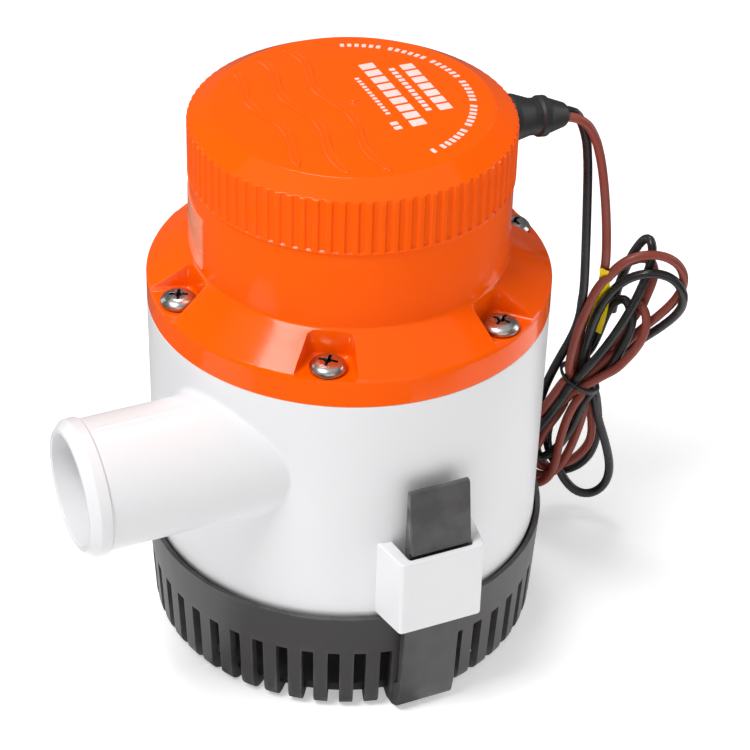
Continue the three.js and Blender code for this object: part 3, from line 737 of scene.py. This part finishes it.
def cap_shell():
    """The cap's outside on a fine polar grid: flat grooves between the ribs that end in rounded ledges."""
    per_rib = 16
    columns = RIB_COUNT * per_rib
    profile = [(45.4, 161.08), (48.8, 161.08), (48.94, 161.14), (CAP_RADIUS, 161.3)]
    profile += [(CAP_RADIUS, z) for z in (161.42, 161.48, 161.52, 161.96, 162.0, 162.06, 164, 168, 172)]
    profile += [(CAP_RADIUS, z) for z in (175, 176.8)]
    shoulder = rounded([(CAP_RADIUS, 177.3), (CAP_RADIUS, 178.3, 0.9), (41.8, 182.35, 1.3), (41, 182.4)],
                       steps=8)
    edge = next(k for k, (r, z) in enumerate(shoulder) if r < 47)
    (outer, low), (inner, high) = shoulder[edge - 1], shoulder[edge]
    shares = (0.03, 0.07, 0.11, 0.16, 0.22, 0.3, 0.6, 0.9)
    between = [(outer + (inner - outer) * t, low + (high - low) * t) for t in shares]
    profile += shoulder[1:edge] + between + shoulder[edge:-1]
    verts = []
    for column in range(columns):
        angle = TAU * column / columns
        share = abs((column % per_rib) / per_rib - 0.5) * 2
        hollow = min(1, max(0, (GROOVE_EDGE - share) / GROOVE_SLOPE))
        hollow = hollow * hollow * (3 - 2 * hollow)
        for radius, height in profile:
            start = min(1, max(0, (height - LEDGE) / LEDGE_RISE))
            r = min(radius, CAP_RADIUS - RIB_DEPTH * hollow * start)
            verts.append((r * math.cos(angle), r * math.sin(angle), height))
    rows = len(profile)
    faces = []
    for i in range(columns):
        j = (i + 1) % columns
        for k in range(rows - 1):
            faces.append((i * rows + k, j * rows + k, j * rows + k + 1, i * rows + k + 1))
    # the flat top: rings of one column per rib, the outer one joined to the fine grid
    rings = [(r, disc_height(r)) for r in (40, 34, 28, 21, 14, 7)]
    first = len(verts)
    for radius, height in rings:
        for i in range(RIB_COUNT):
            angle = TAU * i / RIB_COUNT
            verts.append((radius * math.cos(angle), radius * math.sin(angle), height))
    for i in range(RIB_COUNT):
        j = (i + 1) % RIB_COUNT
        rim = [((i * per_rib + k) % columns) * rows + rows - 1 for k in range(per_rib + 1)]
        faces.append((*rim, first + j, first + i))
        for k in range(len(rings) - 1):
            a, b = first + k * RIB_COUNT, first + (k + 1) * RIB_COUNT
            faces.append((a + i, a + j, b + j, b + i))
    faces.append(tuple(first + (len(rings) - 1) * RIB_COUNT + i for i in range(RIB_COUNT)))
    return verts, faces


def top_cap():
    verts, faces = cap_shell()
    crown = make_object("cap_crown", verts, faces)
    shade(crown, 60)
    lip = lathe("cap_lip", [
        (45.4, 161.08), (45.2, 161.08), (45.2, 159.4), (43.5, 159.4), (43.5, 156.8), (45.2, 156.8),
        (45.2, 155, 0.3), (42.3, 155, 0.3), (42.3, 175), (36, 178.8), (0, 180.4),
    ], 96)
    shade(lip, 35)
    gate = lathe("gate", [(0, 183.5), (2.7, 183.5), (2.3, 184.1, 0.3), (1.6, 183.95, 0.3),
                          (1.2, 184.55, 0.4), (0, 184.75)], 32)
    gate.data.transform(Matrix.Translation(Vector((-0.1, -0.7, -0.1)) * MM))
    shade(gate, 60)
    return join_shaded("cap", [crown, lip, gate, *[wave_line(k) for k in range(3)]])


def wave_line(index):
    """A low line with two raised edges that waves across the left of the cap's top."""
    middle = (-26.9, -16.6, -6.0)[index]
    reach = 39.5
    steps = 120
    section = ((-1.3, -0.1), (-1.15, 0.36), (-0.9, 0.42), (-0.7, 0.12), (0.7, 0.12), (0.9, 0.42),
               (1.15, 0.36), (1.3, -0.1))
    verts = []
    faces = []
    points = []
    for k in range(steps + 1):
        y = reach - 2 * reach * k / steps
        x = middle + 1.8 * math.cos(TAU * (y - 28) / 37.5)
        if math.hypot(x, y) < 40.3:
            points.append((x, y))
    for k, (x, y) in enumerate(points):
        before, after = points[max(0, k - 1)], points[min(len(points) - 1, k + 1)]
        along = Vector((after[0] - before[0], after[1] - before[1])).normalized()
        across = Vector((-along.y, along.x))
        narrow = min(1, 0.15 + min(k, len(points) - 1 - k) / 4)
        for offset, lift in section:
            px, py = x + across.x * offset * narrow, y + across.y * offset * narrow
            verts.append((px, py, disc_height(math.hypot(px, py)) + lift * min(1, narrow + 0.3)))
    width = len(section)
    for k in range(len(points) - 1):
        for m in range(width - 1):
            a = k * width + m
            faces.append((a, a + 1, a + 1 + width, a + width))
    obj = make_object("wave", verts, faces)
    shade(obj, 60)
    return obj


def printed_block(x0, x1, y0, y1):
    """One block of print: a thin raised rectangle with rounded corners, laid on the cap's top."""
    corner = 0.3
    outline = rounded([(x0, y0, corner), (x1, y0, corner), (x1, y1, corner), (x0, y1, corner)],
                      closed=True, steps=3)
    count = len(outline)
    verts = []
    for lift in (-0.1, 0.06):
        verts += [(x, y, disc_height(math.hypot(x, y)) + lift) for x, y in outline]
    faces = [list(range(count, 2 * count))]
    faces += [(i, (i + 1) % count, (i + 1) % count + count, i + count) for i in range(count)]
    return verts, faces


RING_RADIUS = 35.3      # the ring of printed marks
MARK_SPAN = 2.1         # degrees that one mark takes
MARK_GAP = 1.5          # degrees between two marks
GROUP_GAP = 2.6         # more degrees after every sixth mark


def printed_marks():
    """Rows of plain blocks, where such a cap has its printing, and a ring of them near the edge."""
    blocks = []
    rows = [
        (21.4, 25.6, 14.8, -14.4, 3.2, 1.0), (17.4, 19.3, 13.8, -13.4, 1.5, 0.8),
        (9.9, 14.6, 19.2, -20.2, 3.2, 1.1), (5.5, 6.9, 12.0, -11.4, 1.1, 0.7),
        (4.4, 6.8, -15.8, -20.2, 1.6, 0.8),
    ]
    for x0, x1, start, end, length, gap in rows:
        count = round((start - end + gap) / (length + gap))
        pitch = (start - end + gap) / count
        for k in range(count):
            y = start - k * pitch
            blocks.append(printed_block(x0, x1, y - pitch + gap, y))
    angle = 73
    count = 0
    while angle > -74:
        width = math.radians(MARK_SPAN) * RING_RADIUS
        verts, faces = printed_block(-1.1, 1.1, -width / 2, width / 2)
        turn = Matrix.Rotation(math.radians(angle - MARK_SPAN / 2), 3, "Z")
        placed = []
        for x, y, z in verts:
            point = turn @ Vector((RING_RADIUS + x, y, 0))
            lift = z - disc_height(math.hypot(x, y))
            placed.append((point.x, point.y, disc_height(math.hypot(point.x, point.y)) + lift))
        blocks.append((placed, faces))
        count += 1
        angle -= MARK_SPAN + MARK_GAP + (GROUP_GAP if count % 6 == 0 else 0)
    verts, faces = [], []
    for block_verts, block_faces in blocks:
        faces += [[i + len(verts) for i in face] for face in block_faces]
        verts += block_verts
    obj = make_object("cap_print", verts, faces)
    shade(obj, 40)
    return obj


finish_piece(top_cap(), "pump", "orange_plastic", ORANGE, "top_cap")
finish_piece(printed_marks(), "pump", "label_film", PRINT)


# ---------------------------------------------------------------- cable boot and label

BOOT_DROOP = math.radians(8)
BOOT_PLACE = Vector((46.5, 0, 167.6))


def cable_boot():
    """The rubber strain relief: a flange inside the cap, a neck, a ring and a tapered tail."""
    profile = [
        (0, -7.8), (6.4, -7.8), (6.4, -6.2), (5.1, -6.2), (5.1, 4.3), (7.6, 4.3, 0.5), (7.4, 6.5, 2),
        (5.8, 12, 3), (5.7, 14.6, 0.4), (6.4, 15.2, 0.4), (6.4, 17.4, 0.4), (5.7, 18.2, 0.5),
        (3.8, 24.2, 1.5), (3.1, 25, 0.4), (0, 24.6),
    ]
    boot = lathe("rubber_boot", profile, 64)
    lie_down = Matrix.Rotation(math.pi / 2 + BOOT_DROOP, 4, "Y")
    boot.data.transform(Matrix.Translation(BOOT_PLACE * MM) @ lie_down)
    shade(boot, 40)
    return boot


def rating_label():
    """A thin film wrapped on the neck, with rounded corners."""
    start, end, bottom, top = 2.66, 3.2, 137.5, 155
    radius = 48.9
    corner = 1.5
    outline = rounded([(start * radius, bottom, corner), (end * radius, bottom, corner),
                       (end * radius, top, corner), (start * radius, top, corner)], closed=True)
    work = bmesh.new()
    ring = [work.verts.new((a * MM, z * MM, 0)) for a, z in outline]
    work.faces.new(ring)
    for k in range(1, 24):
        cut = (start + (end - start) * k / 24) * radius * MM
        bmesh.ops.bisect_plane(work, geom=work.verts[:] + work.edges[:] + work.faces[:],
                               plane_co=(cut, 0, 0), plane_no=(1, 0, 0))
    solid = bmesh.ops.extrude_face_region(work, geom=work.faces[:])
    raised = {v for v in solid["geom"] if isinstance(v, bmesh.types.BMVert)}
    for v in work.verts:
        angle = v.co.x / MM / radius
        r = radius + 0.12 if v in raised else NECK_RADIUS + 0.02
        v.co = Vector((r * math.cos(angle) * MM, r * math.sin(angle) * MM, v.co.y))
    mesh = bpy.data.meshes.new("neck_label")
    work.to_mesh(mesh)
    work.free()
    label = link("neck_label", mesh)
    fix_normals(label)
    shade(label, 40)
    return label


finish_piece(cable_boot(), "pump", "rubber", RUBBER, "cable_boot")
finish_piece(rating_label(), "pump", "label_film", LABEL, "rating_label")


# ---------------------------------------------------------------- leads

WIRE_DIAMETER = 3.0
WIRE_STEP = 1.5

# Routes as (u, v, z): u along the hank's plane, v across it. The first seven points are the CAD tubes'.
BROWN_ROUTE = [
    (65.9, 28.0, 164.0), (69.3, 28.6, 162.9), (73.4, 30, 158.6), (77.2, 31.5, 148.5), (79.8, 33, 134),
    (81.6, 34.4, 119), (82.6, 35.4, 104.2),
    # down behind the big loop to the tie
    (82.8, 37, 101), (82.6, 39.6, 96), (81.8, 41.8, 90), (80.8, 42.8, 82), (79.5, 43.5, 72), (79, 43.4, 62),
    # round the bottom from right to left
    (80.5, 43.4, 53), (83, 44, 44), (84.5, 45, 36), (84.5, 45, 29), (82.5, 45, 24), (79, 44.6, 20),
    (75, 44.2, 17), (70, 43.8, 15), (65.5, 43.3, 17.5), (63, 42.3, 24), (63, 41, 31), (64.5, 39, 39),
    (67, 37.5, 47), (70, 36.8, 54),
    # the big loop in front
    (72.5, 36, 62), (74, 35.8, 72), (75.5, 35.6, 81), (78, 35.2, 91), (81.5, 35, 100), (86, 35.4, 105.5),
    (91, 36, 109), (96.5, 36, 110), (102, 36.5, 109), (106.5, 37.5, 105.5), (109, 38.5, 100), (109, 40, 94),
    (106.5, 41, 88), (101.5, 41, 82), (96, 41, 76.5), (91.5, 40.5, 71), (87, 40, 66), (83, 39.5, 60.5),
    # down in front and round the lower left
    (79.5, 38, 54.5), (76.5, 37, 50), (74.5, 36.5, 45), (73, 36.5, 38), (72, 36.5, 31), (71.8, 36.5, 25),
    (70.8, 36.8, 19.5), (68.5, 37.5, 14.5), (64.5, 38.5, 12.5), (61, 39.8, 15), (60.5, 40.5, 20.5),
    (62.5, 40.5, 27), (66, 40.3, 33), (69, 40.3, 39), (72, 41, 46), (75, 41.8, 53),
    # the loop behind the big one
    (76, 42.4, 64), (77.5, 43.5, 75), (79.5, 44.5, 84), (83, 45.3, 92), (88, 45.8, 98.5),
    (93.5, 46, 102.5), (98.5, 45.5, 103), (100.5, 44.5, 98.5), (98.5, 43.5, 91), (95, 42.5, 83),
    (91.5, 41.6, 76), (87.5, 41.3, 69), (84, 41, 62),
    # the last turn at the bottom
    (81.5, 41.5, 55), (81, 42, 48), (80, 42, 40), (78.5, 42, 33.5), (77, 42, 27), (75, 42, 21.5),
    (72, 42.5, 15.5), (67.5, 43, 13), (63, 42.8, 15.5), (61.5, 42.5, 22), (62.5, 42.3, 29.5),
    (65.5, 42, 36), (69.5, 41, 43), (74, 40, 49), (78.5, 38.6, 54.5),
    # the end, which curls over on the right
    (82, 37, 58.5), (86, 36, 62.5), (90.5, 35.8, 66.5), (94.5, 35.8, 71.5), (97.5, 36, 78), (98.2, 37, 84.5),
    (96.5, 39.3, 88.5), (94, 42, 88), (92.5, 44, 83.5),
]
BLACK_ROUTE = [
    (65.6, 31.1, 164.5), (69.1, 31.8, 162.6), (72.0, 32.6, 155.5), (73.6, 33.3, 146), (74.6, 34.2, 130),
    (75.5, 35, 112), (76.2, 35.8, 94.2),
    # down outside the tie and round the bottom
    (76, 38.5, 84), (74.5, 41.5, 74), (71.3, 43.8, 64), (68.5, 44.5, 56), (66.5, 45, 49), (65, 45.5, 41),
    (64.5, 46, 32), (65.3, 47, 23), (67.5, 47.5, 16), (71.5, 47.8, 12), (76, 47.8, 12), (80.5, 47.5, 14.5),
    (84, 47, 19), (85.8, 46.8, 25.5), (85.8, 46.3, 32), (85, 45.5, 39), (83.8, 45, 46), (81.5, 43.5, 53),
    # the big loop just inside the brown one
    (79, 41, 60), (78.5, 39.8, 67), (79.5, 38.8, 75.5), (81, 38.3, 83.5), (83.5, 38, 91), (87.5, 38, 97),
    (92, 37.8, 100.5), (97, 37.5, 102), (102, 37, 102), (106.5, 36.5, 99.5), (109.3, 36.5, 94.5),
    (109.3, 37.8, 88), (106.5, 39.5, 82.5), (102.5, 41, 77.5), (97.5, 42, 72.5), (93, 42.3, 68.5),
    (88.5, 42.3, 64.5), (85, 41.3, 60),
    # the longest loop at the bottom right
    (83.2, 40.4, 54), (83.5, 40, 47), (85.5, 40, 39.5), (88, 40, 32), (90, 40, 25), (91, 40, 18.5),
    (90, 40.2, 12.5), (87, 40.3, 8.5), (83, 40.5, 7), (79, 41, 8.5), (75.5, 42.3, 12.5), (72.5, 43.8, 17.5),
    (70, 44.3, 22), (68.5, 44.3, 28), (69, 44, 35.5), (71, 43.5, 42), (73.5, 43.3, 48.5), (76.5, 43.5, 55),
    # a short loop among the others
    (80, 44.4, 62), (83, 45, 71), (85, 45, 80), (87.5, 44, 87), (91, 42, 90), (93.8, 39.9, 86),
    (93.3, 38.9, 78), (90.5, 38.7, 71), (87, 38.7, 65), (83.5, 38.7, 59),
    # down in the middle and round the left
    (80.5, 38.6, 53.5), (79, 38.5, 48), (77.8, 38.5, 42.5), (76, 38.6, 37), (74, 39.2, 32), (71.5, 40, 27),
    (68, 41, 22.5), (64, 41, 22), (61, 40.5, 26.5), (61.5, 39.5, 33), (64.5, 38.5, 38.5), (68, 37.8, 44),
    (71.5, 37.3, 50), (75, 36.8, 56.5),
    # up in front, over the top and down behind to the end
    (78, 36.2, 62), (81, 36, 66.5), (85, 36, 73), (89, 36, 81), (92.5, 36.9, 88.5), (95.5, 38.6, 96),
    (97.5, 39.9, 102.5), (98.3, 41.5, 108.5), (97.5, 44.3, 112), (95.5, 47.2, 109.5), (93, 48.3, 103.5),
    (90.5, 48.6, 96), (88.3, 48.6, 87), (87.5, 48.6, 79),
]
TIE_CENTRE = (77.8, 40.8, 57)
TIE_REACH = (5.9, 6.6)          # half its inner size along and across the hank
TIE_SLANT = -0.5
LOOSE_RUN = 160                 # up to this far from its exit the black lead may pass outside the tie
HELD_POINTS = 12                # at the exit this many points of each wire stay where the route puts them
PUMP_CLEARANCE = 66             # below CLEARANCE_TOP the wires stay outside this radius
CLEARANCE_TOP = 130


def from_hank(u, v, z):
    turn = Matrix.Rotation(HANK_TURN, 3, "Z")
    return turn @ Vector((u, v, z))


def smooth_route(points, step):
    """A Catmull-Rom curve through the points, resampled evenly."""
    points = [np.array(p, float) for p in points]
    padded = [2 * points[0] - points[1], *points, 2 * points[-1] - points[-2]]
    fine = []
    for a, b, c, d in zip(padded, padded[1:], padded[2:], padded[3:]):
        for k in range(24):
            t = k / 24
            fine.append(0.5 * (2 * b + (c - a) * t + (2 * a - 5 * b + 4 * c - d) * t * t
                               + (3 * b - a - 3 * c + d) * t ** 3))
    fine.append(points[-1])
    fine = np.array(fine)
    run = np.concatenate([[0], np.cumsum(np.linalg.norm(np.diff(fine, axis=0), axis=1))])
    marks = np.linspace(0, run[-1], int(round(run[-1] / step)) + 1)
    return np.stack([np.interp(marks, run, fine[:, axis]) for axis in range(3)], axis=1)


def settle(routes, rounds=160):
    """Lets the wires push each other apart, stay off the pump and the floor, and round off their bends."""
    starts = np.cumsum([0] + [len(r) for r in routes])
    owner = np.concatenate([np.full(len(r), i) for i, r in enumerate(routes)])
    order = np.concatenate([np.arange(len(r)) for r in routes])
    points = np.concatenate(routes)
    target = points.copy()
    held = order < HELD_POINTS
    loose = (owner == 1) & (order * WIRE_STEP < LOOSE_RUN)
    radius = WIRE_DIAMETER / 2
    apart = WIRE_DIAMETER * 1.01
    for turn in range(rounds):
        if turn % 8 == 0:
            squared = ((points[:, None] - points[None]) ** 2).sum(axis=2)
            near = squared < (apart + 1.5) ** 2
            near &= (owner[:, None] != owner[None]) | (np.abs(order[:, None] - order[None]) > 5)
            pairs = np.argwhere(np.triu(near, 1))
        for start, end in zip(starts, starts[1:]):
            wire = points[start:end]
            wire[1:-1] += 0.3 * ((wire[:-2] + wire[2:]) / 2 - wire[1:-1])
        points += 0.03 * (target - points)
        i, j = pairs[:, 0], pairs[:, 1]
        gap = points[i] - points[j]
        length = np.linalg.norm(gap, axis=1) + 1e-9
        push = np.clip(apart - length, 0, None)[:, None] * gap / length[:, None] * 0.4
        np.add.at(points, i, push)
        np.add.at(points, j, -push)
        # inside the tie
        slant = points[:, 2] - TIE_CENTRE[2] - TIE_SLANT * (points[:, 0] - TIE_CENTRE[0])
        room = np.array(TIE_REACH) - radius
        flat = (points[:, :2] - TIE_CENTRE[:2]) / room
        reach = np.linalg.norm(flat, axis=1)
        tied = (np.abs(slant) < 2.5) & (reach > 1) & ~loose
        points[tied, :2] = TIE_CENTRE[:2] + flat[tied] * room / reach[tied][:, None]
        # off the pump and the floor
        across = np.linalg.norm(points[:, :2], axis=1)
        low = (points[:, 2] < CLEARANCE_TOP) & (across < PUMP_CLEARANCE)
        points[low, :2] *= (PUMP_CLEARANCE / across[low])[:, None]
        points[:, 2] = np.maximum(points[:, 2], radius)
        points[held] = target[held]
    return [points[start:end] for start, end in zip(starts, starts[1:])]


def wire_curve(name, points, radius):
    curve = bpy.data.curves.new(name, "CURVE")
    curve.dimensions = "3D"
    curve.bevel_depth = radius * MM
    curve.bevel_resolution = 4
    curve.use_fill_caps = True
    spline = curve.splines.new("POLY")
    spline.points.add(len(points) - 1)
    for point, place in zip(spline.points, points):
        point.co = (*(from_hank(*place) * MM), 1)
    spline.use_smooth = True
    return link(name, curve)


brown_points, black_points = settle([smooth_route(route, WIRE_STEP) for route in (BROWN_ROUTE, BLACK_ROUTE)])
brown_wire = wire_curve("brown_wire", brown_points, WIRE_DIAMETER / 2)
black_wire = wire_curve("black_wire", black_points, WIRE_DIAMETER / 2)
finish_piece(brown_wire, "pump", "brown_insulation", BROWN, "brown_lead", "wire_hank")
finish_piece(black_wire, "pump", "black_insulation", BLACK, "black_lead", "wire_hank")


def tie_band():
    """A flat band round the hank's waist, slanted as the turns pull it."""
    count = 64
    band = []
    for i in range(count):
        angle = TAU * i / count
        u, v = math.cos(angle), math.sin(angle)
        for thick, rise in ((0.1, -0.8), (0.8, -0.75), (1.0, 0), (0.8, 0.75), (0.1, 0.8)):
            along, across = (TIE_REACH[0] + thick) * u, (TIE_REACH[1] + thick) * v
            z = TIE_CENTRE[2] + TIE_SLANT * along + rise
            band.append(from_hank(TIE_CENTRE[0] + along, TIE_CENTRE[1] + across, z))
    faces = []
    for i in range(count):
        for k in range(5):
            a, b = i * 5 + k, i * 5 + (k + 1) % 5
            c, d = ((i + 1) % count) * 5 + (k + 1) % 5, ((i + 1) % count) * 5 + k
            faces.append((a, b, c, d))
    obj = make_object("wire_tie", band, faces)
    shade(obj)
    return obj


def tag_film():
    """A strip of film stuck to the brown lead, where it runs down behind the big loop."""
    lead = sorted((z, v) for u, v, z in BROWN_ROUTE[6:13])
    columns, rows = 8, 20
    top, bottom = ((80.2, 105.6), (83.4, 104.6)), ((78.6, 78), (83.6, 74.5))
    verts = []
    for thick in (-0.12, 0.12):
        for j in range(rows + 1):
            for i in range(columns + 1):
                a, b = i / columns, j / rows
                left = [top[0][k] + (bottom[0][k] - top[0][k]) * b for k in (0, 1)]
                right = [top[1][k] + (bottom[1][k] - top[1][k]) * b for k in (0, 1)]
                u, z = (left[k] + (right[k] - left[k]) * a for k in (0, 1))
                u += 1.6 * math.sin(math.pi * b)
                v = np.interp(z, [p[0] for p in lead], [p[1] for p in lead]) - 1.8
                verts.append(from_hank(u, v + 0.5 * math.sin(TAU * (a + b)) * a + thick, z))
    layer = (rows + 1) * (columns + 1)
    grid = [j * (columns + 1) + i for j in range(rows) for i in range(columns)]
    faces = []
    for k in grid:
        quad = (k, k + 1, k + columns + 2, k + columns + 1)
        faces += [quad, tuple(layer + q for q in reversed(quad))]
    rim = list(range(columns)) + [columns + j * (columns + 1) for j in range(rows)]
    rim += [layer - 1 - i for i in range(columns)] + [(rows - j) * (columns + 1) for j in range(rows)]
    for k, a in enumerate(rim):
        b = rim[(k + 1) % len(rim)]
        faces.append((a, layer + a, layer + b, b))
    obj = make_object("lead_tag", verts, faces)
    shade(obj)
    return obj


tie = finish_piece(tie_band(), "pump", "black_insulation", BLACK, "hank_tie")
tag = finish_piece(tag_film(), "pump", "yellow_film", YELLOW, "wire_tag")


def lead_exit(points):
    return tuple(from_hank(*points[0]) * MM)


lead_exit(brown_points)
lead_exit(black_points)
